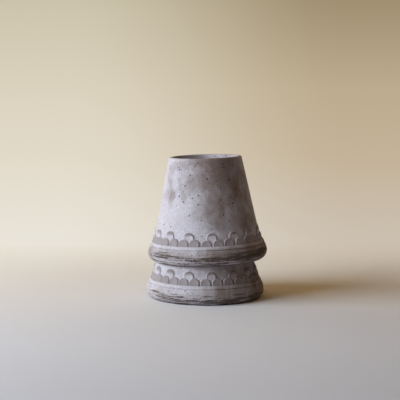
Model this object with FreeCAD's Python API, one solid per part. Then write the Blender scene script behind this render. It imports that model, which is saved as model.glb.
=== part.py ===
import FreeCAD, Part
import math, os

# Two thick-walled clay flower pots kept upside down, one nested over the other.
# Millimetres and degrees. +Z is up, and the stack stands on z = 0.
# Each pot is drawn mouth down, with its own axis on z and its lip on z = 0.

# Overall form of one pot. The lower one shrank a little more in its kiln.
rim_radius = 90.6
lower_pot_shrink = 1.0
foot_inset = 35.6
pot_height = 155.0

# Rim bead, from the lip up to the groove
lip_flat_inset = 7.2
bead_under_inset = 2.4
bead_under_height = 4.0
bead_middle_height = 11.2
bead_over_inset = 1.1
bead_over_height = 17.4
bead_top_inset = 3.4
bead_top_height = 22.8

# Groove above the bead, and the cove and ledge that carry the lobes
groove_depth = 0.9
groove_width = 1.2
cove_inset = 3.9
cove_rise = 3.4
cove_top_inset = 4.9
ledge_inset = 6.4
ledge_rise = 2.4
band_inset = 10.0

# Two rows of raised lobes, like fish scales. They are set out from the ledge.
lower_lobe_count = 30
upper_lobe_count = 15
lobe_radius = 7.9
lower_lobe_rise = 9.4
upper_lobe_rise = 20.2
lower_lobe_lift = 2.5
upper_lobe_lift = 2.2
lobe_root = 1.0
lower_pot_turn = 6.8
upper_pot_turn = 4.3

# Inside of the pot
mouth_inset = 12.19
mouth_edge_radius = 1.5
floor_thickness = 12.0
floor_corner_radius = 7.0
drain_radius = 8.0

# Foot ring and the recess inside it
foot_recess_depth = 12.0
foot_ring_width = 7.2
foot_outer_round = 2.6
foot_inner_round = 2.2
foot_recess_corner = 4.0

# How the upper pot sits over the lower one: how high its lip is over the lobes, and its lean
nest_above_lobes = 7.8
nest_lean = 1.6
nest_gap = 0.3

# How far a cutting shape runs past the face that it cuts
overrun = 2.0

# Heights that follow from the sizes above
groove_top = bead_top_height + groove_width
cove_top_height = groove_top + cove_rise
ledge_height = cove_top_height + ledge_rise
lower_lobe_top = ledge_height + lower_lobe_rise
upper_lobe_top = ledge_height + upper_lobe_rise
recess_floor_height = pot_height - foot_recess_depth
inner_floor_height = recess_floor_height - floor_thickness
nest_height = upper_lobe_top + nest_above_lobes

ALONG_Y = FreeCAD.Vector(0, 1, 0)
ALONG_Z = FreeCAD.Vector(0, 0, 1)
ORIGIN = FreeCAD.Vector(0, 0, 0)


def place(radius, height):
    # A point of the half section, in the plane through the axis
    return FreeCAD.Vector(radius, 0, height)


def line(start, end):
    return Part.LineSegment(start, end).toShape()


def arc(start, middle, end):
    return Part.Arc(start, middle, end).toShape()


def outer_slope():
    # How much the outer wall narrows for each unit of height, from the ledge to the foot
    return (foot_inset - band_inset) / (pot_height - ledge_height)


def outer_radius(rim, height):
    # The wall is a straight cone from the ledge to the foot
    return rim - band_inset - outer_slope() * (height - ledge_height)


def inner_slope():
    # The inner wall narrows faster than the outer one, by the angle of the lean,
    # so the leaning pot's left wall lies flat along the lower pot
    return math.tan(math.atan(outer_slope()) + math.radians(nest_lean))


def inner_radius(rim, height):
    return rim - mouth_inset - inner_slope() * (height - mouth_edge_radius)


def rounded(corner, before, after, radius):
    # A rounded corner: where it leaves one straight, its middle, and where it meets the next
    to_before = (before - corner).normalize()
    to_after = (after - corner).normalize()
    half = to_before.getAngle(to_after) / 2
    setback = radius / math.tan(half)
    middle = (to_before + to_after).normalize() * (radius / math.sin(half) - radius)
    return corner + to_before * setback, corner + middle, corner + to_after * setback


def rim_edges(rim, lip_end):
    # The bead, the groove, the cove and the ledge, from the lip's flat to the wall
    lip = place(rim - lip_flat_inset, 0)
    under = place(rim - bead_under_inset, bead_under_height)
    widest = place(rim, bead_middle_height)
    over = place(rim - bead_over_inset, bead_over_height)
    bead_top = place(rim - bead_top_inset, bead_top_height)
    groove = place(rim - cove_inset - groove_depth, bead_top_height + groove_width / 2)
    cove = place(rim - cove_inset, groove_top)
    cove_top = place(rim - cove_top_inset, cove_top_height)
    ledge = place(rim - ledge_inset, ledge_height)
    band = place(rim - band_inset, ledge_height)
    return [
        line(lip_end, lip),
        arc(lip, under, widest),
        arc(widest, over, bead_top),
        line(bead_top, groove),
        line(groove, cove),
        line(cove, cove_top),
        line(cove_top, ledge),
        line(ledge, band),
    ]


def foot_edges(rim):
    # The outer wall, the rounded foot ring and its recess, down to the drain hole
    band = place(rim - band_inset, ledge_height)
    outer = place(rim - foot_inset, pot_height)
    ring_inner = place(rim - foot_inset - foot_ring_width, pot_height)
    recess = place(rim - foot_inset - foot_ring_width, recess_floor_height)
    drain = place(drain_radius, recess_floor_height)
    outer_start, outer_middle, outer_end = rounded(outer, band, ring_inner, foot_outer_round)
    inner_start, inner_middle, inner_end = rounded(ring_inner, outer, recess, foot_inner_round)
    low_start, low_middle, low_end = rounded(recess, ring_inner, drain, foot_recess_corner)
    return [
        line(band, outer_start),
        arc(outer_start, outer_middle, outer_end),
        line(outer_end, inner_start),
        arc(inner_start, inner_middle, inner_end),
        line(inner_end, low_start),
        arc(low_start, low_middle, low_end),
        line(low_end, drain),
    ]


def inside_edges(rim):
    # The drain hole, the inner floor, the inner wall and the mouth's rounded edge
    drain_out = place(drain_radius, recess_floor_height)
    drain_in = place(drain_radius, inner_floor_height)
    corner = place(inner_radius(rim, inner_floor_height), inner_floor_height)
    mouth = place(inner_radius(rim, 0), 0)
    lip_side = place(rim, 0)
    floor_start, floor_middle, floor_end = rounded(corner, drain_in, mouth, floor_corner_radius)
    edge_start, edge_middle, edge_end = rounded(mouth, corner, lip_side, mouth_edge_radius)
    edges = [
        line(drain_out, drain_in),
        line(drain_in, floor_start),
        arc(floor_start, floor_middle, floor_end),
        line(floor_end, edge_start),
        arc(edge_start, edge_middle, edge_end),
    ]
    return edges, edge_end


def turned_pot(rim):
    # The thrown pot without its lobes: one closed half section, turned about the axis
    inside, lip_end = inside_edges(rim)
    outline = Part.Wire(rim_edges(rim, lip_end) + foot_edges(rim) + inside)
    return Part.Face(outline).revolve(ORIGIN, ALONG_Z, 360)


def lobe_block(turn, top, low):
    # A round-topped block that stands out along the radius, at one lobe's place
    centre = top - lobe_radius
    right_low = FreeCAD.Vector(lobe_radius, 0, low)
    right = FreeCAD.Vector(lobe_radius, 0, centre)
    crown = FreeCAD.Vector(0, 0, top)
    left = FreeCAD.Vector(-lobe_radius, 0, centre)
    left_low = FreeCAD.Vector(-lobe_radius, 0, low)
    outline = Part.Wire([
        line(left_low, right_low),
        line(right_low, right),
        arc(right, crown, left),
        line(left, left_low),
    ])
    block = Part.Face(outline).extrude(ALONG_Y * -(rim_radius + overrun))
    block.rotate(ORIGIN, ALONG_Z, turn)
    return block


def lobe_skin(rim, top, low, face_low, face_top):
    # A thin ring over the wall, as deep as a row of lobes and as high as its face
    outline = Part.makePolygon([
        place(outer_radius(rim, low) - lobe_root, low),
        place(face_low, low),
        place(face_top, top + overrun),
        place(outer_radius(rim, top + overrun) - lobe_root, top + overrun),
        place(outer_radius(rim, low) - lobe_root, low),
    ])
    return Part.Face(outline).revolve(ORIGIN, ALONG_Z, 360)


def lobe_row(rim, count, turn, top, low, face_low, face_top):
    # One row of lobes, cut from its ring
    blocks = [lobe_block(turn + 360 * place_in_row / count, top, low) for place_in_row in range(count)]
    skin = lobe_skin(rim, top, low, face_low, face_top)
    return skin.common(Part.makeCompound(blocks))


def lower_lobes(rim, turn):
    # The faces of the lower row run along the wall
    low = ledge_height - lobe_root
    face_low = outer_radius(rim, low) + lower_lobe_lift
    face_top = outer_radius(rim, lower_lobe_top + overrun) + lower_lobe_lift
    turn += 180 / lower_lobe_count
    return lobe_row(rim, lower_lobe_count, turn, lower_lobe_top, low, face_low, face_top)


def upper_lobes(rim, turn):
    # The faces of the upper row stand upright, so they fade into the wall lower down
    face = outer_radius(rim, upper_lobe_top) + upper_lobe_lift
    low = upper_lobe_top - upper_lobe_lift / outer_slope()
    return lobe_row(rim, upper_lobe_count, turn, upper_lobe_top, low, face, face)


def pot(rim, turn):
    # One pot, with both rows of lobes in one piece with its wall
    rows = lower_lobes(rim, turn).Solids + upper_lobes(rim, turn).Solids
    return turned_pot(rim).fuse(rows).removeSplitter()


def nest_shift():
    # The upper pot is pushed to the right until its left inner wall meets the lower pot,
    # where the inner wall ends in the mouth's rounded edge
    lean = math.radians(nest_lean)
    edge_height = nest_height + mouth_edge_radius * math.cos(lean)
    inner = (rim_radius - mouth_inset) * (math.cos(lean) - outer_slope() * math.sin(lean))
    outer = outer_radius(rim_radius - lower_pot_shrink, edge_height)
    gap = nest_gap / math.cos(math.atan(outer_slope()))
    return inner + mouth_edge_radius * math.sin(lean) - outer - gap


def lower_pot():
    return pot(rim_radius - lower_pot_shrink, lower_pot_turn)


def upper_pot():
    # Drawn upright, then leaned to the left and set over the lower pot
    shape = pot(rim_radius, upper_pot_turn)
    shape.rotate(ORIGIN, ALONG_Y, -nest_lean)
    shape.translate(FreeCAD.Vector(nest_shift(), 0, nest_height))
    return shape


def centred(shapes):
    # The stack's box is centred on the z axis, with its lowest face on z = 0
    box = Part.makeCompound(list(shapes.values())).optimalBoundingBox(False)
    shift = FreeCAD.Vector(-box.Center.x, -box.Center.y, 0)
    for shape in shapes.values():
        shape.translate(shift)
    return shapes


os.makedirs("parts", exist_ok=True)
pieces = centred({"lower_pot": lower_pot(), "upper_pot": upper_pot()})
for name, shape in pieces.items():
    solid = shape.Solids[0]
    solid.exportStep("parts/" + name + ".step")
    box = solid.optimalBoundingBox(False)
    print(name, "solids", len(shape.Solids), "valid", solid.isValid(), "volume", round(solid.Volume))
    print("  x", round(box.XMin, 2), round(box.XMax, 2), "z", round(box.ZMin, 2), round(box.ZMax, 2))
    print("  y", round(box.YMin, 2), round(box.YMax, 2))
gap = pieces["lower_pot"].distToShape(pieces["upper_pot"])[0]
print("sideways shift", round(nest_shift(), 3), "least gap between the pots", round(gap, 3))
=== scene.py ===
import bpy
import math
import random
import numpy as np
from mathutils import Matrix, Vector, noise


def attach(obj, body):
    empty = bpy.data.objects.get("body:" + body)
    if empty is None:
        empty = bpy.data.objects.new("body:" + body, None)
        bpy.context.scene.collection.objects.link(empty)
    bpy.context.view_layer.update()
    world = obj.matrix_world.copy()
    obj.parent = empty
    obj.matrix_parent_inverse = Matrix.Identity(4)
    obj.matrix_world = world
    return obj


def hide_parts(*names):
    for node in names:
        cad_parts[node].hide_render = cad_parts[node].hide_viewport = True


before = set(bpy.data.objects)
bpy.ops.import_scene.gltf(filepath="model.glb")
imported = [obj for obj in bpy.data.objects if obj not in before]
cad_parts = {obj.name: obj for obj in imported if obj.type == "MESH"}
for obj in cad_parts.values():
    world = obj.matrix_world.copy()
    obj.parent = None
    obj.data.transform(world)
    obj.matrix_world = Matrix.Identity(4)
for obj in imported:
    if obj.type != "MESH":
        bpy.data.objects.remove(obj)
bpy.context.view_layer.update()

# Two thick-walled clay flower pots, kept mouth down, one nested over the other.
# Metres. +Z is up, and the stack stands on z = 0.


# ---- The floor and the wall behind it ----
# A sheet of pale paper that runs back from under the pots and sweeps up into a cream wall.
# It isn't part of the object. Far from the pots the camera sees it at a plain level, with painted
# light and shade that make the wall darker to the right and upwards, and near them it takes the
# light and their shadow.

MM = 0.001
FLOOR_FRONT = -1.9
FLOOR_BACK = 0.55
SWEEP_RADIUS = 0.45
SWEEP_STEPS = 24
WALL_TOP = 1.6
STAGE_HALF_WIDTH = 2.6
# Pairs of where a change begins and ends, in metres
PLAIN_TO_THE_BACK = (0.04, 0.58)
PLAIN_ALL_ROUND = (0.62, 1.25)
WALL_LEFT_TO_RIGHT = (-0.34, 0.35)
WALL_UPWARDS = (0.0, 0.62)
FLOOR_BACKWARDS = (-0.6, 0.3)
GREY_TO_CREAM = (0.25, 0.9)
PAPER_GRAIN_SCALE = 220
PAPER_GRAIN = 0.03


def linear(red, green, blue):
    # A screen colour of 0 to 255 as the scene's own linear one
    def channel(value):
        value /= 255
        return value / 12.92 if value <= 0.04045 else ((value + 0.055) / 1.055) ** 2.4
    return channel(red), channel(green), channel(blue), 1.0


# Colours from one end of a change to the other. The wall's are painted light and shade: lighter on
# the left and low down, darker to the right and upwards.
WALL_PAINTED_LIGHT_LEFT = [
    (0.0, linear(233, 228, 217)), (0.25, linear(226, 218, 201)), (0.5, linear(219, 210, 190)),
    (0.8, linear(206, 197, 174)), (1.0, linear(186, 178, 152)),
]
WALL_PAINTED_SHADE_RIGHT = [
    (0.0, linear(203, 191, 175)), (0.25, linear(195, 178, 152)), (0.5, linear(188, 171, 142)),
    (0.8, linear(163, 146, 116)), (1.0, linear(146, 130, 99)),
]
# Painted light: the floor's grey is lighter towards the back
GREY_FLOOR_PAINTED_LIGHT = [
    (0.06, linear(212, 218, 229)), (0.28, linear(222, 228, 238)), (0.54, linear(230, 234, 240)),
    (0.82, linear(240, 243, 243)),
]
CREAM_PAPER = linear(242, 200, 132)


def new_material(name):
    material = bpy.data.materials.new(name)
    material.use_nodes = True
    material.node_tree.nodes.clear()
    return material, material.node_tree


def add_node(tree, kind, **settings):
    node = tree.nodes.new(kind)
    for name, value in settings.items():
        setattr(node, name, value)
    return node


def link(tree, source, target):
    tree.links.new(source, target)


def colour_ramp(tree, value, stops):
    # Colours along a value, from (place, colour) stops
    ramp = add_node(tree, "ShaderNodeValToRGB")
    points = ramp.color_ramp.elements
    while len(points) > 1:
        points.remove(points[-1])
    points[0].position, points[0].color = stops[0]
    for place, colour in stops[1:]:
        points.new(place).color = colour
    link(tree, value, ramp.inputs["Fac"])
    return ramp.outputs["Color"]


def share_between(tree, value, low, high, out_low=0.0, out_high=1.0, change="SMOOTHSTEP"):
    # Goes from out_low to out_high as the value goes from low to high
    between = add_node(tree, "ShaderNodeMapRange", interpolation_type=change)
    for name, number in (("From Min", low), ("From Max", high), ("To Min", out_low), ("To Max", out_high)):
        between.inputs[name].default_value = number
    link(tree, value, between.inputs["Value"])
    return between.outputs["Result"]


def combine(tree, operation, first, second):
    node = add_node(tree, "ShaderNodeMath", operation=operation)
    for socket, value in zip(node.inputs, (first, second)):
        if isinstance(value, (int, float)):
            socket.default_value = value
        else:
            link(tree, value, socket)
    return node.outputs["Value"]


def laid_over(tree, share, below, above):
    # One colour over another, by a share
    mix = add_node(tree, "ShaderNodeMix", data_type="RGBA")
    link(tree, share, mix.inputs[0])
    for socket, colour in ((mix.inputs[6], below), (mix.inputs[7], above)):
        if isinstance(colour, tuple):
            socket.default_value = colour
        else:
            link(tree, colour, socket)
    return mix.outputs[2]


bpy.ops.object.select_all(action="DESELECT")
bpy.ops.mesh.primitive_plane_add(size=1, location=(0, 0, 0))
backdrop = bpy.context.object
backdrop.name = "paper_backdrop"
bpy.ops.object.mode_set(mode="EDIT")
bpy.ops.mesh.select_all(action="SELECT")
bpy.ops.transform.resize(value=(2 * STAGE_HALF_WIDTH, FLOOR_BACK - FLOOR_FRONT, 1))
bpy.ops.transform.translate(value=(0, (FLOOR_BACK + FLOOR_FRONT) / 2, 0))
bpy.ops.object.mode_set(mode="OBJECT")
# Its back edge is swept up into the wall
for edge in backdrop.data.edges:
    edge.select = all(backdrop.data.vertices[i].co.y > FLOOR_BACK - MM for i in edge.vertices)
for vertex in backdrop.data.vertices:
    vertex.select = vertex.co.y > FLOOR_BACK - MM
for face in backdrop.data.polygons:
    face.select = False
bpy.ops.object.mode_set(mode="EDIT")
bpy.ops.mesh.spin(steps=SWEEP_STEPS, angle=math.pi / 2, center=(0, FLOOR_BACK, SWEEP_RADIUS), axis=(-1, 0, 0))
bpy.ops.mesh.extrude_region_move(TRANSFORM_OT_translate={"value": (0, 0, WALL_TOP - SWEEP_RADIUS)})
bpy.ops.mesh.select_all(action="SELECT")
bpy.ops.mesh.remove_doubles(threshold=MM / 10)
bpy.ops.mesh.normals_make_consistent(inside=False)
bpy.ops.object.mode_set(mode="OBJECT")
bpy.ops.object.shade_smooth()

paper, tree = new_material("pale_paper")
place = add_node(tree, "ShaderNodeTexCoord").outputs["Object"]
axes = add_node(tree, "ShaderNodeSeparateXYZ")
link(tree, place, axes.inputs["Vector"])
# Painted shade: the wall is darker to the right and upwards
up = share_between(tree, axes.outputs["Z"], *WALL_UPWARDS, change="LINEAR")
across = share_between(tree, axes.outputs["X"], *WALL_LEFT_TO_RIGHT)
wall = laid_over(tree, across, colour_ramp(tree, up, WALL_PAINTED_LIGHT_LEFT), colour_ramp(tree, up, WALL_PAINTED_SHADE_RIGHT))
# The lit paper turns from pale grey in front to cream on the wall, and painted light makes its grey lighter
# towards the back
grain = add_node(tree, "ShaderNodeTexNoise")
grain.inputs["Scale"].default_value = PAPER_GRAIN_SCALE
link(tree, place, grain.inputs["Vector"])
grain_shift = share_between(tree, grain.outputs["Fac"], 0.0, 1.0, -PAPER_GRAIN, PAPER_GRAIN, "LINEAR")
depth = share_between(tree, axes.outputs["Y"], *FLOOR_BACKWARDS, change="LINEAR")
floor_colour = colour_ramp(tree, combine(tree, "ADD", depth, grain_shift), GREY_FLOOR_PAINTED_LIGHT)
toward_wall = share_between(tree, axes.outputs["Y"], *GREY_TO_CREAM)
lit = add_node(tree, "ShaderNodeBsdfPrincipled")
lit.inputs["Roughness"].default_value = 0.9
lit.inputs["Specular IOR Level"].default_value = 0.2
link(tree, laid_over(tree, toward_wall, floor_colour, CREAM_PAPER), lit.inputs["Base Color"])
# Far off, the camera sees the wall's plain colours instead, with their painted light and shade
plain = add_node(tree, "ShaderNodeEmission")
link(tree, wall, plain.inputs["Color"])
distance = add_node(tree, "ShaderNodeVectorMath", operation="LENGTH")
link(tree, place, distance.inputs[0])
far = share_between(tree, distance.outputs["Value"], *PLAIN_ALL_ROUND)
back = share_between(tree, axes.outputs["Y"], *PLAIN_TO_THE_BACK)
seen = add_node(tree, "ShaderNodeLightPath")
share = combine(tree, "MULTIPLY", seen.outputs["Is Camera Ray"], combine(tree, "MAXIMUM", back, far))
blend = add_node(tree, "ShaderNodeMixShader")
link(tree, share, blend.inputs["Fac"])
link(tree, lit.outputs["BSDF"], blend.inputs[1])
link(tree, plain.outputs["Emission"], blend.inputs[2])
paper_out = add_node(tree, "ShaderNodeOutputMaterial")
link(tree, blend.outputs["Shader"], paper_out.inputs["Surface"])
backdrop.data.materials.append(paper)


# ---- Light and camera ----
# One large soft window light from the left, a little in front, and warm light from the
# cream room all round. The camera stands 1.7 m away and looks down by 6 degrees.

KEY_TURN = 67.0
KEY_HEIGHT = 0.95
KEY_DISTANCE = 2.0
KEY_WIDTH = 1.9
KEY_TALL = 1.0
KEY_POWER = 56.0
KEY_TINT = (0.90, 0.955, 1.01)
KEY_AIM_HEIGHT = 0.1
FILL_TINT = (1.0, 0.62, 0.34, 1.0)
FILL_LEVEL = 0.084
CEILING_HEIGHT = 2.2
CEILING_SIZE = 2.4
CEILING_POWER = 3.4
BEYOND_THE_PAPER = linear(224, 216, 201)
CAMERA_PLACE = (-0.0102, -1.700, 0.3243)
CAMERA_DOWN = 5.977
CAMERA_LENS = 101.4

key_turn = math.radians(KEY_TURN)
key_place = (-KEY_DISTANCE * math.sin(key_turn), -KEY_DISTANCE * math.cos(key_turn), KEY_HEIGHT)
bpy.ops.object.light_add(type="AREA", location=key_place)
window = bpy.context.object
window.name = "window_light"
window.data.shape = "RECTANGLE"
window.data.size = KEY_WIDTH
window.data.size_y = KEY_TALL
window.data.energy = KEY_POWER
window.data.color = KEY_TINT
aim = Vector((0, 0, KEY_AIM_HEIGHT)) - window.location
window.rotation_euler = aim.to_track_quat("-Z", "Y").to_euler()

bpy.ops.object.light_add(type="AREA", location=(0, 0, CEILING_HEIGHT))
ceiling = bpy.context.object
ceiling.name = "ceiling_light"
ceiling.data.shape = "SQUARE"
ceiling.data.size = CEILING_SIZE
ceiling.data.energy = CEILING_POWER
ceiling.data.color = FILL_TINT[:3]

world = bpy.data.worlds.new("cream_room")
bpy.context.scene.world = world
world.use_nodes = True
tree = world.node_tree
room = tree.nodes["Background"]
room.inputs["Color"].default_value = FILL_TINT
room.inputs["Strength"].default_value = FILL_LEVEL
# Past the paper's edge the camera sees a pale cream
beyond = add_node(tree, "ShaderNodeBackground")
beyond.inputs["Color"].default_value = BEYOND_THE_PAPER
looks = add_node(tree, "ShaderNodeLightPath")
either = add_node(tree, "ShaderNodeMixShader")
link(tree, looks.outputs["Is Camera Ray"], either.inputs["Fac"])
link(tree, room.outputs["Background"], either.inputs[1])
link(tree, beyond.outputs["Background"], either.inputs[2])
link(tree, either.outputs["Shader"], tree.nodes["World Output"].inputs["Surface"])

camera_data = bpy.data.cameras.new("camera")
camera_data.sensor_width = 36
camera_data.lens = CAMERA_LENS
camera = bpy.data.objects.new("camera", camera_data)
bpy.context.scene.collection.objects.link(camera)
camera.location = CAMERA_PLACE
camera.rotation_euler = (math.radians(90 - CAMERA_DOWN), 0, 0)
bpy.context.scene.camera = camera
bpy.context.scene.view_settings.view_transform = "Standard"


# ---- The lower pot ----
# A thick-walled clay flower pot, standing on its lip. It is turned on a wheel, and 45 round
# lobes are pressed on in two rows. It is fired, brushed with a grey wash and rubbed, so the
# dark clay shows on the bead and on the lobes' faces.

# Two points that are closer than this, in metres, are in the same place
HAIR = MM / 100
TURNING_STEPS = 288
# Sizes are in millimetres from here on
POT_HEIGHT = 155.0
LEDGE_HEIGHT = 29.8
BAND_INSET = 10.0
FOOT_INSET = 35.6
FOOT_RING_WIDTH = 7.2
MOUTH_INSET = 12.19
MOUTH_EDGE_RADIUS = 1.5
RECESS_FLOOR = 143.0
INNER_FLOOR = 131.0
DRAIN_RADIUS = 8.0
NEST_LEAN = 1.6
OUTER_SLOPE = (FOOT_INSET - BAND_INSET) / (POT_HEIGHT - LEDGE_HEIGHT)
INNER_SLOPE = math.tan(math.atan(OUTER_SLOPE) + math.radians(NEST_LEAN))

# The rim from the lip up, as (distance in from the rim, height)
LIP_INNER = (9.6, 0.0)
LIP_OUTER = (7.2, 0.0)
BEAD_UNDER = (2.4, 4.0)
BEAD_WIDEST = (0.0, 11.2)
BEAD_OVER = (1.1, 17.4)
BEAD_TOP = (3.4, 22.8)
GROOVE = [(4.3, 23.1), (4.8, 23.4), (4.4, 23.8), (3.9, 24.2)]
COVE_MIDDLE = (4.1, 25.5)
COVE_TOP = (4.9, 26.7)
LEDGE_EDGE = [(5.2, 27.2), (5.4, 27.8), (6.0, 28.35), (6.9, 28.6)]
LEDGE_TOP = 28.7
# The wall has closer points up to here, for the lobes' sake
CLOSE_POINTS_TOP = 53.0
# The foot: distances in from its edge or from its ring's inner edge, and heights
FOOT_ROUND_START = 152.3
FOOT_ROUND_MIDDLE = (0.6, 154.3)
FOOT_ROUND_WIDTH = 2.3
RING_ROUND_WIDTH = 2.2
RING_ROUND_MIDDLE = (0.65, 154.35)
RING_ROUND_END = 152.8
RECESS_CORNER_START = 147.0
RECESS_CORNER_MIDDLE = (1.17, 144.17)
RECESS_CORNER_WIDTH = 4.0
# The drain hole's softened edges, the floor's rounded corner and the mouth's edge
DRAIN_EDGE = 0.8
DRAIN_EDGE_MIDDLE = 0.23
FLOOR_CORNER_WIDTH = 5.55
FLOOR_CORNER_MIDDLE = (0.7, 128.8)
FLOOR_CORNER_END = 125.5
MOUTH_EDGE_START = 1.4
MOUTH_EDGE_MIDDLE = (0.45, 0.4)


def wall_radius(rim, height):
    return rim - BAND_INSET - OUTER_SLOPE * (height - LEDGE_HEIGHT)


def inner_radius(rim, height):
    return rim - MOUTH_INSET - INNER_SLOPE * (height - MOUTH_EDGE_RADIUS)


def along(start, end, count):
    # Evenly spaced points from one to the other, without the start
    across, up = end[0] - start[0], end[1] - start[1]
    return [(start[0] + across * i / count, start[1] + up * i / count) for i in range(1, count + 1)]


def swept(start, middle, end, count):
    # Points on the arc through three points, without the start
    ax, ay = middle[0] - start[0], middle[1] - start[1]
    bx, by = end[0] - start[0], end[1] - start[1]
    cross = 2 * (ax * by - ay * bx)
    cx = start[0] + (by * (ax * ax + ay * ay) - ay * (bx * bx + by * by)) / cross
    cy = start[1] + (ax * (bx * bx + by * by) - bx * (ax * ax + ay * ay)) / cross
    radius = math.hypot(start[0] - cx, start[1] - cy)
    first = math.atan2(start[1] - cy, start[0] - cx)
    span = math.atan2(end[1] - cy, end[0] - cx) - first
    span = (span + math.pi) % (2 * math.pi) - math.pi
    turns = [first + span * i / count for i in range(1, count + 1)]
    return [(cx + radius * math.cos(turn), cy + radius * math.sin(turn)) for turn in turns]


def pot_outline(rim):
    # The half section, from the lip round the outside, over the foot and back down the inside
    def at_rim(spot):
        return rim - spot[0], spot[1]

    def wall(height):
        return wall_radius(rim, height), height

    def inside(height):
        return inner_radius(rim, height), height

    foot = rim - FOOT_INSET
    ring = foot - FOOT_RING_WIDTH
    ledge = (rim - BAND_INSET, LEDGE_TOP)
    points = [at_rim(LIP_INNER), at_rim(LIP_OUTER)]
    points += swept(at_rim(LIP_OUTER), at_rim(BEAD_UNDER), at_rim(BEAD_WIDEST), 20)
    points += swept(at_rim(BEAD_WIDEST), at_rim(BEAD_OVER), at_rim(BEAD_TOP), 17)
    points += [at_rim(spot) for spot in GROOVE]
    points += swept(at_rim(GROOVE[-1]), at_rim(COVE_MIDDLE), at_rim(COVE_TOP), 5)
    points += [at_rim(spot) for spot in LEDGE_EDGE]
    points += along(at_rim(LEDGE_EDGE[-1]), ledge, 3)
    points += along(ledge, wall(CLOSE_POINTS_TOP), 21)
    points += along(wall(CLOSE_POINTS_TOP), wall(FOOT_ROUND_START), 48)
    # Over the foot ring and down into its recess
    foot_end = (foot - FOOT_ROUND_WIDTH, POT_HEIGHT)
    ring_start = (ring + RING_ROUND_WIDTH, POT_HEIGHT)
    points += swept(wall(FOOT_ROUND_START), (foot - FOOT_ROUND_MIDDLE[0], FOOT_ROUND_MIDDLE[1]), foot_end, 6)
    points += along(foot_end, ring_start, 2)
    ring_end = (ring, RING_ROUND_END)
    points += swept(ring_start, (ring + RING_ROUND_MIDDLE[0], RING_ROUND_MIDDLE[1]), ring_end, 5)
    corner_start = (ring, RECESS_CORNER_START)
    corner_end = (ring - RECESS_CORNER_WIDTH, RECESS_FLOOR)
    points += along(ring_end, corner_start, 4)
    points += swept(corner_start, (ring - RECESS_CORNER_MIDDLE[0], RECESS_CORNER_MIDDLE[1]), corner_end, 5)
    # Through the drain hole
    drain_in, drain_edge = DRAIN_RADIUS + DRAIN_EDGE_MIDDLE, DRAIN_RADIUS + DRAIN_EDGE
    drain_top, drain_low = RECESS_FLOOR - DRAIN_EDGE, INNER_FLOOR + DRAIN_EDGE
    points += along(corner_end, (drain_edge, RECESS_FLOOR), 10)
    middle = (drain_in, RECESS_FLOOR - DRAIN_EDGE_MIDDLE)
    points += swept((drain_edge, RECESS_FLOOR), middle, (DRAIN_RADIUS, drain_top), 3)
    points += along((DRAIN_RADIUS, drain_top), (DRAIN_RADIUS, drain_low), 4)
    middle = (drain_in, INNER_FLOOR + DRAIN_EDGE_MIDDLE)
    points += swept((DRAIN_RADIUS, drain_low), middle, (drain_edge, INNER_FLOOR), 3)
    # Down the inside to the mouth
    floor_edge = inner_radius(rim, INNER_FLOOR)
    corner_start = (floor_edge - FLOOR_CORNER_WIDTH, INNER_FLOOR)
    middle = (floor_edge - FLOOR_CORNER_MIDDLE[0], FLOOR_CORNER_MIDDLE[1])
    points += along((drain_edge, INNER_FLOOR), corner_start, 8)
    points += swept(corner_start, middle, inside(FLOOR_CORNER_END), 6)
    points += along(inside(FLOOR_CORNER_END), inside(MOUTH_EDGE_START), 28)
    mouth = inner_radius(rim, 0)
    middle = (mouth + MOUTH_EDGE_MIDDLE[0], MOUTH_EDGE_MIDDLE[1])
    points += swept(inside(MOUTH_EDGE_START), middle, (mouth + MOUTH_EDGE_RADIUS, 0.0), 4)
    return points


def turned_pot(name, rim):
    # The half section is drawn point by point and spun about the pot's axis
    outline = pot_outline(rim)
    bpy.ops.object.select_all(action="DESELECT")
    bpy.ops.mesh.primitive_plane_add(size=MM, location=(outline[0][0] * MM, 0, outline[0][1] * MM))
    pot = bpy.context.object
    pot.name = name
    bpy.ops.object.transform_apply(location=True, rotation=True, scale=True)
    bpy.ops.object.mode_set(mode="EDIT")
    bpy.ops.mesh.select_mode(type="VERT")
    bpy.ops.mesh.select_all(action="SELECT")
    bpy.ops.mesh.merge(type="CENTER")
    for before, after in zip(outline, outline[1:]):
        step = ((after[0] - before[0]) * MM, 0, (after[1] - before[1]) * MM)
        bpy.ops.mesh.extrude_region_move(TRANSFORM_OT_translate={"value": step})
    bpy.ops.mesh.select_all(action="SELECT")
    bpy.ops.mesh.remove_doubles(threshold=HAIR)
    bpy.ops.mesh.select_all(action="SELECT")
    bpy.ops.mesh.edge_face_add()
    bpy.ops.mesh.delete(type="ONLY_FACE")
    bpy.ops.mesh.select_all(action="SELECT")
    bpy.ops.mesh.spin(steps=TURNING_STEPS, angle=2 * math.pi, center=(0, 0, 0), axis=(0, 0, 1))
    bpy.ops.mesh.select_all(action="SELECT")
    bpy.ops.mesh.remove_doubles(threshold=HAIR)
    bpy.ops.mesh.normals_make_consistent(inside=False)
    bpy.ops.object.mode_set(mode="OBJECT")
    return pot


# These mark where a face came from, while the pot is put together
pot_skin = bpy.data.materials.new("pot_skin")
low_face_skin = bpy.data.materials.new("low_face_skin")
high_face_skin = bpy.data.materials.new("high_face_skin")
pore_skin = bpy.data.materials.new("pore_skin")

LOBE_SIDES = 36
LOBE_RADIUS = 7.95
LOBE_DEPTH = 5.4
LOBE_EDGE = 1.5
# Below this much under its middle, a lobe's sides run straight down
LOBE_ROUND_BELOW = 3.0
# A lobe's face is sunk in steps of (width, depth)
LOBE_SINKING = ((0.3, 0.02), (0.8, 0.22), (1.2, 0.08))
# Its face is larger than this in square millimetres, and its other flats in front are smaller
LEAST_FACE_AREA = 20
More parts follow.
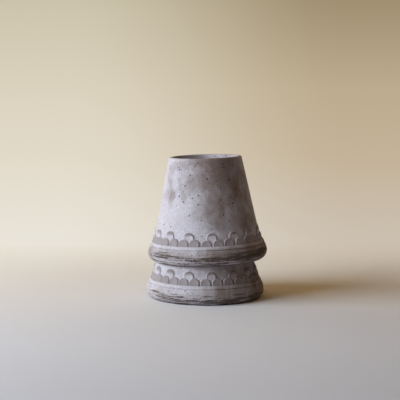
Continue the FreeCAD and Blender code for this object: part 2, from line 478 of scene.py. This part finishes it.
# How far a lobe may be out of place by chance: degrees, up or down, and inwards
LOBE_TURNS = (-0.6, 0.6)
LOBE_RISES = (-0.6, 0.5)
LOBE_SINKS_IN = (0, 0.2)
LOWER_ROW_COUNT = 30
LOWER_ROW_TOP = 39.4
LOWER_ROW_MIDDLE = 31.5
LOWER_ROW_LIFT = 2.6
LOWER_ROW_DROP = 4.4
LOWER_ROW_LEAN = math.atan(OUTER_SLOPE)
UPPER_ROW_COUNT = 15
UPPER_ROW_TOP = 49.6
UPPER_ROW_LIFT = 2.35
UPPER_ROW_DROP = 10.5
UPPER_ROW_LEAN = math.atan(OUTER_SLOPE) * 0.45


def raised_lobe(top, face_radius, drop, lean, skin):
    # One lobe: most of a short round bar, with a softened edge and a slightly sunk face. Its
    # lower end is cut off straight.
    bpy.ops.object.select_all(action="DESELECT")
    bpy.ops.mesh.primitive_cylinder_add(vertices=LOBE_SIDES, radius=LOBE_RADIUS * MM, depth=LOBE_DEPTH * MM,
                                        rotation=(math.pi / 2, 0, 0))
    lobe = bpy.context.object
    bpy.ops.object.transform_apply(location=True, rotation=True, scale=True)
    bpy.ops.object.mode_set(mode="EDIT")
    bpy.ops.mesh.select_all(action="SELECT")
    bpy.ops.mesh.bisect(plane_co=(0, 0, -LOBE_ROUND_BELOW * MM), plane_no=(0, 0, 1),
                        use_fill=False, clear_inner=True)
    bpy.ops.mesh.extrude_region_move(TRANSFORM_OT_translate={"value": (0, 0, (LOBE_ROUND_BELOW - drop) * MM)})
    bpy.ops.mesh.edge_face_add()
    bpy.ops.mesh.select_all(action="SELECT")
    bpy.ops.mesh.normals_make_consistent(inside=False)
    bpy.ops.mesh.dissolve_limited(angle_limit=0.01)
    bpy.ops.mesh.select_all(action="DESELECT")
    bpy.ops.object.mode_set(mode="OBJECT")
    # The edge round the face is softened, apart from the straight cut
    front = -LOBE_DEPTH / 2 * MM
    low = (-drop + 0.1) * MM
    points = lobe.data.vertices
    for edge in lobe.data.edges:
        ends = [points[i].co for i in edge.vertices]
        edge.select = all(abs(end.y - front) < HAIR for end in ends) and any(end.z > low for end in ends)
    bpy.context.tool_settings.mesh_select_mode = (False, True, False)
    bpy.ops.object.mode_set(mode="EDIT")
    bpy.ops.mesh.bevel(offset=LOBE_EDGE * MM, segments=3, profile=0.5)
    bpy.ops.mesh.select_all(action="DESELECT")
    bpy.ops.mesh.select_mode(type="FACE")
    bpy.ops.object.mode_set(mode="OBJECT")
    for face in lobe.data.polygons:
        face.select = face.center.y < front + HAIR and face.area > LEAST_FACE_AREA * MM * MM
    bpy.ops.object.mode_set(mode="EDIT")
    for width, depth in LOBE_SINKING:
        bpy.ops.mesh.inset(thickness=width * MM)
        bpy.ops.transform.translate(value=(0, depth * MM, 0))
    bpy.ops.object.mode_set(mode="OBJECT")
    # The sunk face has its own mark
    lobe.data.materials.append(pot_skin)
    lobe.data.materials.append(skin)
    for face in lobe.data.polygons:
        sunk = front + 0.05 * MM < face.center.y < 0
        face.material_index = int(sunk and abs(face.normal.y) > 0.95)
    lobe.data.transform(Matrix.Translation((0, LOBE_DEPTH / 2 * MM, 0)))
    lobe.data.transform(Matrix.Rotation(-lean, 4, "X"))
    middle = top - LOBE_RADIUS * math.cos(lean)
    lobe.data.transform(Matrix.Translation((0, -face_radius * MM, middle * MM)))
    return lobe


def pick(things):
    # Selects only these, with the first one active
    bpy.ops.object.select_all(action="DESELECT")
    for thing in things:
        thing.select_set(True)
    bpy.context.view_layer.objects.active = things[0]


def join_clay(pot, other, operation):
    # Adds the other shape to the pot, or cuts it out
    pick([pot])
    join = pot.modifiers.new("clay", "BOOLEAN")
    join.operation = operation
    join.object = other
    join.solver = "MANIFOLD"
    join.material_mode = "TRANSFER"
    bpy.ops.object.modifier_apply(modifier=join.name)
    bpy.data.objects.remove(other)


def press_on_row(pot, lobe, count, first_turn, chance, askew):
    # Copies one lobe round the pot, each a little out of place, and makes them one with the clay.
    # The ones in front are askew as in the photo: place in the row, degrees, mm up.
    row = []
    askew = {at % count: (degrees, rise) for at, degrees, rise in askew}
    for i in range(count):
        copy = lobe.copy()
        copy.data = lobe.data.copy()
        degrees, rise = askew.get(i, (chance.uniform(*LOBE_TURNS), chance.uniform(*LOBE_RISES)))
        turn = first_turn + 360 * i / count + degrees
        nudge = Matrix.Translation((0, chance.uniform(*LOBE_SINKS_IN) * MM, rise * MM))
        copy.data.transform(Matrix.Rotation(math.radians(turn), 4, "Z") @ nudge)
        bpy.context.scene.collection.objects.link(copy)
        row.append(copy)
    bpy.data.objects.remove(lobe)
    pick(row)
    bpy.ops.object.join()
    join_clay(pot, row[0], "UNION")


def soft_step(value, low, high):
    share = np.clip((value - low) / (high - low), 0, 1)
    return share * share * (3 - 2 * share)


def own_points(pot):
    # The pot's points in millimetres, with their angle from the front and their distance out
    points = np.empty(len(pot.data.vertices) * 3, dtype=np.float32)
    pot.data.vertices.foreach_get("co", points)
    points = points.reshape(-1, 3).astype(float) / MM
    angle = np.degrees(np.arctan2(points[:, 0], -points[:, 1]))
    return points, angle, np.hypot(points[:, 0], points[:, 1])


def roughness_of(points, scale, seed):
    # Noise of about 0 to 1 at each point, with one scale for each direction
    shift = Vector((3.1 * seed, 1.7 * seed, 2.3 * seed))
    x_scale, y_scale, z_scale = scale
    places = [Vector((x * x_scale, y * y_scale, z * z_scale)) + shift for x, y, z in points.tolist()]
    return np.array([0.5 + 0.5 * noise.fractal(spot, 1.0, 2.0, 3) for spot in places])


def patch_strength(angle, height, patches, core=0.55, edge=1.25):
    # Patches are (angle, height, half width in degrees, half height in mm, strength)
    left = np.ones(len(angle))
    for at_angle, at_height, half_width, half_height, level in patches:
        off = (angle - at_angle + 180) % 360 - 180
        distance = np.sqrt((off / half_width) ** 2 + ((height - at_height) / half_height) ** 2)
        left = np.minimum(left, 1 - level * (1 - soft_step(distance, core, edge)))
    return 1 - left


def soft_patches(angle, height, patches):
    # As above, but each fades from its middle, and they add up where they meet
    left = np.ones(len(angle))
    for patch in patches:
        left *= 1 - patch_strength(angle, height, [patch], 0.0, 1.7)
    return 1 - left


# How far the surface is rubbed in: all over, in broad waves, in streaks and in lumps
EVEN_RUB = 0.06
WAVE_DEPTH = 0.5
STREAK_DEPTH = 0.3
LUMP_DEPTH = 0.9
WAVE_SCALE = (0.02, 0.02, 0.03)
STREAK_SCALE = (0.12, 0.12, 0.5)
LUMP_SCALE = (0.16, 0.16, 0.16)
# The lumps are among the lobes only, the bead ends at a height, and the foot's edge is spared
LUMPS_FROM = 29
LUMPS_TO = 54
BEAD_ENDS_AT = 27
FOOT_SPARED = (151.5, 154.5)


def rub_and_wear(pot, rim, seed, bare_and_shade_patches):
    # The outside is slightly uneven, and rubbed bands of the bead are a little lower and rough.
    # Points only move inwards, so the pot stays within its size.
    points, angle, radius = own_points(pot)
    height = points[:, 2]
    outside = soft_step(radius, wall_radius(rim, height) - 5, wall_radius(rim, height) - 3)
    outside = np.where(height < BEAD_ENDS_AT, soft_step(radius, rim - 9.5, rim - 7), outside)
    outside *= 1 - soft_step(height, *FOOT_SPARED)
    bare_and_shade = patch_strength(angle, height, bare_and_shade_patches)
    broad = roughness_of(points, WAVE_SCALE, seed)
    streak = roughness_of(points, STREAK_SCALE, seed + 1)
    lumpy = roughness_of(points, LUMP_SCALE, seed + 2) * (height > LUMPS_FROM) * (height < LUMPS_TO)
    inward = outside * (
        EVEN_RUB + WAVE_DEPTH * np.clip(broad - 0.42, 0, 1)
        + STREAK_DEPTH * bare_and_shade * soft_step(streak, 0.3, 0.7) + LUMP_DEPTH * np.clip(lumpy - 0.46, 0, 1))
    shrink = 1 - inward / np.maximum(radius, 1)
    points[:, 0] *= shrink
    points[:, 1] *= shrink
    pot.data.vertices.foreach_set("co", (points * MM).astype(np.float32).ravel())
    pot.data.update()


def outside_radius(rim, height):
    # How far out the turned surface is at a height
    outside = [point for point in pot_outline(rim)[1:] if point[0] > rim - FOOT_INSET - 0.5]
    rising = [point for before, point in zip([(0, -1)] + outside, outside) if point[1] > before[1]]
    return float(np.interp(height, [point[1] for point in rising], [point[0] for point in rising]))


# A pore's half width and half height for each mm of its radius, and its depth for each of width
PORE_WIDTH = 1.25
PORE_HEIGHT = 1.1
PORE_DEPTH = 0.8
DEEPEST_PORE = 1.1


def pit_clay(pot, rim, pits, slashes, recess_pits):
    # Pores are small hollows that burst in the firing: (angle, height, radius).
    # Slashes are longer and shallow: (angle, height, half length, half height, turn).
    blobs = []
    for angle, height, radius in pits:
        out = outside_radius(rim, height)
        blobs.append((angle, height, PORE_WIDTH * radius, PORE_HEIGHT * radius, 0, out))
    for angle, height, half_length, half_height, turn in slashes:
        blobs.append((angle, height, half_length, half_height, turn, outside_radius(rim, height)))
    for angle, height, radius in recess_pits:
        blobs.append((angle, height, radius, radius, 0, rim - FOOT_INSET - FOOT_RING_WIDTH - 0.2))
    holes = []
    for angle, height, half_length, half_height, turn, out in blobs:
        bpy.ops.mesh.primitive_ico_sphere_add(subdivisions=1 if half_length < 0.5 else 2, radius=MM)
        hole = bpy.context.object
        depth = min(half_length, DEEPEST_PORE) * PORE_DEPTH
        shape = Matrix.Diagonal((half_length, depth, half_height, 1))
        hole.data.transform(Matrix.Rotation(math.radians(turn), 4, "Y") @ shape)
        hole.data.transform(Matrix.Translation((0, -(out + 0.1) * MM, height * MM)))
        hole.data.transform(Matrix.Rotation(math.radians(angle), 4, "Z"))
        hole.data.materials.append(pore_skin)
        hole.name = "pore"
        holes.append(hole)
    pick(holes)
    bpy.ops.object.join()
    join_clay(pot, holes[0], "DIFFERENCE")


# How much of the wash is rubbed off the lower lobes, and how much painted shade darkens the inside of the
# foot ring
LOWER_ROW_RUB = 0.68
RECESS_PAINTED_SHADE = 0.38


def set_shares(pot, name, shares):
    layer = pot.data.attributes.new(name, "FLOAT", "POINT")
    layer.data.foreach_set("value", np.asarray(shares, dtype=np.float32))


def mark_finish(pot, rim, bare_and_shade_patches, thin_and_shade_patches):
    # Stores how much each point of the surface is raised, rubbed bare, thinly washed or a pore. Painted
    # shade is stored with them: under the bead, on the upper lobes, on the right side and in the recess.
    points, angle, radius = own_points(pot)
    height = points[:, 2]
    names = [skin.name for skin in pot.data.materials]
    skins = (pot_skin, low_face_skin, high_face_skin, pore_skin)
    marks = {skin.name: np.zeros(len(points)) for skin in skins}
    for face in pot.data.polygons:
        marks[names[face.material_index]][list(face.vertices)] = 1
    on_wall, on_low, on_high, on_pore = (marks[skin.name] for skin in skins)
    # The upper lobes' faces are rubbed, and painted shade darkens them most towards the right of the front
    set_shares(pot, "low_face", LOWER_ROW_RUB * on_low)
    set_shares(pot, "high_face", on_high * (0.75 + 0.25 * np.cos(np.radians(angle - 20))))
    set_shares(pot, "bare_and_shade", patch_strength(angle, height, bare_and_shade_patches))
    # Painted shade darkens the inside of the foot ring's recess
    in_recess = (height > RECESS_FLOOR + 1) & (radius < rim - FOOT_INSET - FOOT_RING_WIDTH + 1)
    thin_wash_and_shade = np.maximum(soft_patches(angle, height, thin_and_shade_patches), RECESS_PAINTED_SHADE * in_recess)
    set_shares(pot, "thin_wash_and_shade", thin_wash_and_shade)
    clay = np.maximum(on_wall, np.maximum(on_low, on_high))
    set_shares(pot, "pore", on_pore * (1 - 0.7 * clay))
    pot.data.materials.clear()


def scaled_noise(tree, vector, scale, detail, stretch=None, roughness=0.6, distortion=0.0):
    # Noise over the clay, stretched along the pot's height where that is asked for
    if stretch:
        mapping = add_node(tree, "ShaderNodeMapping")
        mapping.inputs["Scale"].default_value = (1, 1, stretch)
        link(tree, vector, mapping.inputs["Vector"])
        vector = mapping.outputs["Vector"]
    texture = add_node(tree, "ShaderNodeTexNoise")
    texture.inputs["Scale"].default_value = scale
    texture.inputs["Detail"].default_value = detail
    texture.inputs["Roughness"].default_value = roughness
    texture.inputs["Distortion"].default_value = distortion
    link(tree, vector, texture.inputs["Vector"])
    return texture.outputs["Fac"]


def stored(tree, name):
    return add_node(tree, "ShaderNodeAttribute", attribute_name=name).outputs["Fac"]


def scaled(tree, value, by):
    return combine(tree, "MULTIPLY", value, by)


WASH_PALE = (0.585, 0.58, 0.645, 1)
WASH_DULL = (0.475, 0.455, 0.505, 1)
THIN_WASH_AND_SHADE = (0.225, 0.175, 0.158, 1)
LOBE_CLAY = (0.19, 0.148, 0.134, 1)
DARK_CLAY = (0.080, 0.060, 0.049, 1)
# Painted shade: the pores' hollows are near black
PORE_PAINTED_SHADE = (0.03, 0.024, 0.022, 1)
# The upper lobes are rubbed more and more between these heights
RUB_FADES_BETWEEN = (41.5, 47.0)
GRIT_SCALE = 420
BUMP_HEIGHT = 0.0006


def washed_clay(name, turned_back, moved_back):
    material, tree = new_material(name)
    coordinates = add_node(tree, "ShaderNodeTexCoord")
    upright = add_node(tree, "ShaderNodeMapping")
    upright.inputs["Rotation"].default_value = turned_back
    upright.inputs["Location"].default_value = moved_back
    link(tree, coordinates.outputs["Object"], upright.inputs["Vector"])
    spot = upright.outputs["Vector"]

    mottle = scaled_noise(tree, spot, 300, 5, roughness=0.65)
    clouds = scaled_noise(tree, spot, 26, 5, stretch=0.8, distortion=0.5)
    wiped = scaled_noise(tree, spot, 75, 4, stretch=0.55, distortion=0.8)
    brushed = scaled_noise(tree, spot, 170, 4, stretch=0.16)
    streaks = scaled_noise(tree, spot, 38, 6, stretch=17.0, roughness=0.62)
    crumbs = scaled_noise(tree, spot, 430, 5, roughness=0.75)
    grit = add_node(tree, "ShaderNodeTexVoronoi", feature="F1")
    grit.inputs["Scale"].default_value = GRIT_SCALE
    link(tree, spot, grit.inputs["Vector"])
    grit_dots = share_between(tree, grit.outputs["Distance"], 0.16, 0.07)

    # The wash itself: mottled, with faint brush marks
    wash = laid_over(tree, share_between(tree, mottle, 0.32, 0.68), WASH_DULL, WASH_PALE)
    wash = laid_over(tree, share_between(tree, brushed, 0.52, 0.78, 0.0, 0.22), wash, THIN_WASH_AND_SHADE)
    # Clouds where the wash is thin, and painted shade that darkens the pots' right side and the inside of the
    # foot ring
    uneven = combine(tree, "ADD", scaled(tree, combine(tree, "SUBTRACT", clouds, 0.5), 1.3),
                     scaled(tree, combine(tree, "SUBTRACT", wiped, 0.5), 0.7))
    thin_wash_and_shade = share_between(tree, combine(tree, "ADD", stored(tree, "thin_wash_and_shade"), uneven), 0.12, 1.0)
    colour = laid_over(tree, thin_wash_and_shade, wash, THIN_WASH_AND_SHADE)
    # Rubbed faces of the lobes, with painted shade on the upper ones towards the right of the front
    axes = add_node(tree, "ShaderNodeSeparateXYZ")
    link(tree, spot, axes.inputs["Vector"])
    near_top = share_between(tree, axes.outputs["Z"], *[height * MM for height in RUB_FADES_BETWEEN])
    raised = combine(tree, "ADD", stored(tree, "low_face"), scaled(tree, stored(tree, "high_face"), near_top))
    raised = scaled(tree, raised, share_between(tree, mottle, 0.25, 0.7, 0.75, 1.0))
    colour = laid_over(tree, raised, colour, LOBE_CLAY)
    # Small dark grains
    grit_share = scaled(tree, grit_dots, share_between(tree, crumbs, 0.48, 0.6, 0.0, 0.7))
    colour = laid_over(tree, grit_share, colour, DARK_CLAY)
    # The bead, rubbed bare in streaks, and painted shade in the bands all round its underside and lip
    broken = combine(tree, "ADD", scaled(tree, streaks, 2.2), scaled(tree, crumbs, 1.1))
    bare_and_shade = share_between(tree, combine(tree, "ADD", stored(tree, "bare_and_shade"), broken), 2.02, 2.5)
    colour = laid_over(tree, bare_and_shade, colour, DARK_CLAY)
    # Painted shade: near black in the pores' hollows
    colour = laid_over(tree, stored(tree, "pore"), colour, PORE_PAINTED_SHADE)

    clay = add_node(tree, "ShaderNodeBsdfPrincipled")
    clay.inputs["Specular IOR Level"].default_value = 0.25
    link(tree, colour, clay.inputs["Base Color"])
    link(tree, share_between(tree, bare_and_shade, 0.0, 1.0, 0.93, 0.82), clay.inputs["Roughness"])
    relief = scaled(tree, bare_and_shade, -0.25)
    for texture, height in ((crumbs, 0.45), (mottle, 0.35), (grit_share, -0.5)):
        relief = combine(tree, "ADD", relief, scaled(tree, texture, height))
    bump = add_node(tree, "ShaderNodeBump")
    bump.inputs["Strength"].default_value = 0.6
    bump.inputs["Distance"].default_value = BUMP_HEIGHT
    link(tree, relief, bump.inputs["Height"])
    link(tree, bump.outputs["Normal"], clay.inputs["Normal"])
    out = add_node(tree, "ShaderNodeOutputMaterial")
    link(tree, clay.outputs["BSDF"], out.inputs["Surface"])
    return material


# Angles from the front, and heights, where the fine pores are scattered
PORES_BEHIND = (72, 290)
PORES_IN_FRONT = (-70, 72)
PORES_ON_WALL = (54, 150)
PORES_ON_BEAD = (14, 21)
SMOOTH_ANGLE = 48


def scattered_pores(chance):
    # Pores all round, apart from the larger ones in front, which are placed one by one
    pores = []
    for i in range(90):
        spot = (chance.uniform(*PORES_BEHIND), chance.uniform(*PORES_ON_WALL))
        pores.append((*spot, 0.3 + 0.55 * chance.random() ** 2))
    for count, angles, heights, radii in ((16, PORES_BEHIND, PORES_ON_BEAD, (0.4, 0.8)),
                                          (70, PORES_IN_FRONT, PORES_ON_WALL, (0.3, 0.42))):
        for i in range(count):
            pores.append((chance.uniform(*angles), chance.uniform(*heights), chance.uniform(*radii)))
    return pores


def scalloped_pot(name, rim, turn, seed, askew_lower, askew_upper,
                  bare_and_shade_patches, thin_and_shade_patches, pits, slashes, recess_pits):
    # One whole pot in its own upright place
    chance = random.Random(seed)
    pot = turned_pot(name, rim)
    pot.data.materials.append(pot_skin)
    face_radius = wall_radius(rim, LOWER_ROW_MIDDLE) + LOWER_ROW_LIFT
    lobe = raised_lobe(LOWER_ROW_TOP, face_radius, LOWER_ROW_DROP, LOWER_ROW_LEAN, low_face_skin)
    press_on_row(pot, lobe, LOWER_ROW_COUNT, turn + 180 / LOWER_ROW_COUNT, chance, askew_lower)
    face_radius = wall_radius(rim, UPPER_ROW_TOP) + UPPER_ROW_LIFT + LOBE_RADIUS * math.sin(UPPER_ROW_LEAN)
    lobe = raised_lobe(UPPER_ROW_TOP, face_radius, UPPER_ROW_DROP, UPPER_ROW_LEAN, high_face_skin)
    press_on_row(pot, lobe, UPPER_ROW_COUNT, turn, chance, askew_upper)
    rub_and_wear(pot, rim, seed, bare_and_shade_patches)
    pit_clay(pot, rim, pits + scattered_pores(chance), slashes, recess_pits)
    mark_finish(pot, rim, bare_and_shade_patches, thin_and_shade_patches)
    pick([pot])
    bpy.ops.object.shade_smooth_by_angle(angle=math.radians(SMOOTH_ANGLE))
    return pot


LOWER_SEED = 5
LOWER_RIM = 89.6
LOWER_TURN = 6.8
LOWER_AXIS = -2.38
PATTERN_SHIFT = 0.3
# Rubbed and thinly washed patches: angle, height, half width in degrees, half height, strength.
# The rubbed bands all round, low on the bead's underside and at the lip, are painted shade.
LOWER_BARE_AND_SHADE = [
    (-58, 13.0, 18, 4.0, 0.58), (-44, 9.5, 16, 6.5, 0.66), (-28, 8.5, 16, 7.5, 0.66),
    (-10, 6.6, 18, 5.0, 0.70), (8, 6.2, 18, 4.2, 0.84), (24, 6.6, 16, 3.8, 0.84),
    (33, 15.0, 9, 2.0, 0.62), (-2, 14.6, 12, 1.8, 0.60), (38, 9.5, 14, 3.0, 0.62),
    (56, 9.5, 16, 4.0, 0.72), (75, 8.0, 20, 4.0, 0.66), (110, 9.0, 30, 5.0, 0.66),
    (160, 7.0, 40, 5.0, 0.74), (-110, 9.0, 30, 6.5, 0.66), (-150, 12.0, 26, 4.5, 0.6),
    (0, 3.0, 360, 2.2, 0.66), (0, 0.3, 360, 1.6, 0.9), (0, 9.0, 360, 9.0, 0.40),
]
# The thin patches are clouds in the wash, and the broad ones to the right of the front are painted shade on
# that side
LOWER_THIN_AND_SHADE = [
    (0, 9, 360, 10, 0.34), (56, 12, 50, 14, 0.4), (35, 55, 40, 12, 0.45), (60, 34, 44, 26, 0.5),
    (90, 20, 40, 30, 0.3), (38, 34, 44, 60, 0.50), (0, 20, 360, 6, 0.24), (0, 46, 360, 12, 0.24),
    (150, 90, 60, 40, 0.5), (-130, 60, 50, 30, 0.4),
]
# Lobes out of place: place in the row, degrees, mm up
LOWER_ASKEW_LOWER = [
    (-6, -0.4, 0.8), (-5, -0.3, 0.5), (-4, 0.1, 0.4), (-3, -0.6, 0.0), (-2, -0.6, 0.3), (-1, -0.7, 0.0),
    (0, -0.4, 0.4), (1, -0.1, 0.4), (2, 1.2, 1.0), (3, 0.0, 1.0),
]
LOWER_ASKEW_UPPER = [
    (-3, -0.4, 0.9), (-2, -1.3, 0.4), (-1, -1.3, -0.7), (0, -0.8, -0.9), (1, 0.6, -0.6), (2, 0.0, 0.0),
]
LOWER_PITS = [(-61, 16, 0.7), (-17, 18, 0.8), (-29, 17, 0.6), (4, 36, 0.6), (10, 46, 0.5), (60, 50, 0.6)]
LOWER_SLASHES = [(-68, 19, 1.5, 0.5, 60), (-20, 21.6, 1.5, 0.55, 4)]
LOWER_RECESS_PITS = [(170, 149, 0.7)]

lower_clay = scalloped_pot("lower_pot_clay", LOWER_RIM, LOWER_TURN, LOWER_SEED, LOWER_ASKEW_LOWER,
                           LOWER_ASKEW_UPPER, LOWER_BARE_AND_SHADE, LOWER_THIN_AND_SHADE, LOWER_PITS, LOWER_SLASHES,
                           LOWER_RECESS_PITS)
lower_clay.data.transform(Matrix.Translation((LOWER_AXIS * MM, 0, 0)))
# Its pattern is shifted, so that the two pots' finishes differ
moved_back = (-LOWER_AXIS * MM, PATTERN_SHIFT, 0)
lower_clay.data.materials.append(washed_clay("washed_clay_lower", (0, 0, 0), moved_back))
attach(lower_clay, "lower_pot")
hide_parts("lower_pot")


# ---- The upper pot ----
# A second pot of the same pattern, 1 mm larger all round. It was pushed down over the lower one
# and stuck askew: it leans to the left by 1.6 degrees and its lip is 58 mm above the table.

UPPER_SEED = 8
UPPER_RIM = 90.6
UPPER_TURN = 4.3
UPPER_PLACE = (1.719, 0.0, 57.8)
# The rubbed bands all round, low on the bead's underside and at the lip, are painted shade
UPPER_BARE_AND_SHADE = [
    (-50, 14.0, 18, 7.0, 0.74), (-64, 12.5, 14, 6.0, 0.60), (-30, 12.2, 14, 5.4, 0.66),
    (-12, 10.6, 18, 4.6, 0.68), (8, 10.4, 18, 4.6, 0.84), (26, 10.6, 18, 5.0, 0.84),
    (42, 15.6, 22, 3.8, 0.72), (62, 15.6, 16, 4.6, 0.82), (50, 10.4, 26, 4.6, 0.86),
    (-20, 14.8, 9, 1.8, 0.58), (18, 15.6, 16, 3.0, 0.56), (90, 13.0, 20, 5.4, 0.68),
    (110, 14.0, 24, 5.5, 0.66), (150, 11.0, 40, 5.0, 0.72), (-100, 12.0, 26, 6.0, 0.66),
    (-150, 15.0, 22, 4.5, 0.64), (0, 4.6, 360, 2.6, 0.62), (0, 2.2, 360, 1.5, 0.62),
    (0, 0.3, 360, 1.5, 0.9), (0, 10.5, 360, 10.0, 0.40),
]
# The thin patches are clouds in the wash, and the broad ones to the right of the front are painted shade on
# that side
UPPER_THIN_AND_SHADE = [
    (34, 130, 36, 34, 0.70), (28, 152, 40, 12, 0.60), (38, 104, 24, 20, 0.50), (6, 136, 26, 24, 0.56),
    (-14, 150, 22, 12, 0.46), (-10, 116, 24, 26, 0.44), (-34, 116, 14, 18, 0.32), (-52, 98, 10, 16, 0.26),
    (-44, 142, 20, 10, 0.34), (-62, 130, 12, 20, 0.22), (10, 90, 18, 14, 0.30), (30, 72, 40, 24, 0.40),
    (62, 66, 36, 34, 0.30), (0, 16, 360, 9, 0.44), (38, 84, 40, 90, 0.42), (-40, 147, 18, 8, 0.42),
    (6, 122, 17, 20, 0.46), (-40, 104, 16, 16, 0.24), (-8, 96, 18, 24, 0.26), (-8, 134, 30, 30, 0.32),
    (-62, 96, 18, 20, 0.24), (0, 58, 24, 8, 0.26), (0, 20, 360, 6, 0.3), (0, 6, 360, 8, 0.3),
    (50, 12, 46, 14, 0.44), (160, 110, 40, 30, 0.6), (-130, 90, 36, 34, 0.5), (108, 120, 30, 30, 0.5),
]
UPPER_ASKEW_LOWER = [
    (-6, 0.0, 0.5), (-5, -0.8, 0.7), (-4, 0.0, 0.7), (-3, -0.2, 0.0), (-2, -0.3, 0.3), (-1, 0.3, -1.0),
    (0, 0.4, -0.5), (1, 0.0, 0.3), (2, 1.2, 0.7), (3, 0.0, 0.7),
]
UPPER_ASKEW_UPPER = [
    (-3, 0.2, 0.2), (-2, -0.8, 0.4), (-1, -0.6, -0.6), (0, 0.0, -1.5), (1, 0.7, -1.1), (2, 0.0, 0.0),
]
UPPER_PITS = [
    (35, 89, 1.1), (34, 123, 1.1), (42, 109, 1.1), (2, 126, 1.1), (18, 95, 1.0), (27, 146, 0.9),
    (-10, 89, 0.9), (26, 64, 0.9), (20, 112, 0.8), (-22, 131, 0.9), (-29, 116, 0.9), (-30, 93, 0.9),
    (-41, 139, 0.9), (-37, 101, 0.9), (-11, 149, 0.8), (-18, 98, 0.8), (20, 73, 0.8), (30, 88, 0.8),
    (-10, 102, 0.8), (34, 97, 0.7), (28, 142, 0.7), (44, 144, 0.7), (-23, 148, 0.7), (58, 115, 0.7),
    (1, 137, 0.7), (24, 142, 0.6), (-21, 73, 0.8), (36, 94, 0.7), (1, 150, 0.6), (-4, 123, 0.6),
    (19, 141, 0.6), (-55, 52, 0.5), (-46, 105, 0.7), (16, 122, 0.6), (50, 95, 0.6), (33, 110, 0.6),
    (41, 78, 0.6), (-6, 89, 0.5), (33, 127, 0.5), (-10, 133, 0.5), (-40, 87, 0.6), (54, 100, 0.5),
    (-42, 143, 0.5), (11, 137, 0.5), (31, 81, 0.5), (46, 72, 0.5), (7, 147, 0.5), (-2, 89, 0.5),
    (-46, 142, 0.5), (-6, 66, 0.5), (-38, 81, 0.5), (-38, 110, 0.5), (0, 113, 0.5), (7, 136, 0.5),
    (-60, 97, 0.5), (-54, 97, 0.5), (-61, 87, 0.5), (-62, 78, 0.5), (-6, 44, 0.7), (5, 53, 0.7),
    (27, 53, 0.6), (-40, 25.6, 0.5), (-37, 20, 0.7), (-9, 21, 0.7), (-8, 17, 0.7), (-15, 18, 0.6),
    (-9, 14, 0.6),
]
UPPER_RECESS_PITS = [(172, 148, 0.8), (161, 151, 0.6), (156, 150, 0.6), (140, 147, 0.5), (196, 149, 0.5)]
UPPER_SLASHES = [(-59, 58, 2.0, 0.5, 4), (-45, 56, 1.9, 0.6, -50)]

upper_clay = scalloped_pot("upper_pot_clay", UPPER_RIM, UPPER_TURN, UPPER_SEED, UPPER_ASKEW_LOWER,
                           UPPER_ASKEW_UPPER, UPPER_BARE_AND_SHADE, UPPER_THIN_AND_SHADE, UPPER_PITS, UPPER_SLASHES,
                           UPPER_RECESS_PITS)
lean = math.radians(NEST_LEAN)
seat = Matrix.Translation([value * MM for value in UPPER_PLACE]) @ Matrix.Rotation(-lean, 4, "Y")
upper_clay.data.transform(seat)
# Its finish reads places as if the pot still stood upright
back_turn = Matrix.Rotation(lean, 4, "Y")
back_shift = back_turn @ Vector([-value * MM for value in UPPER_PLACE])
upper_clay.data.materials.append(washed_clay("washed_clay_upper", (0, lean, 0), tuple(back_shift)))
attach(upper_clay, "upper_pot")
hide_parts("upper_pot")
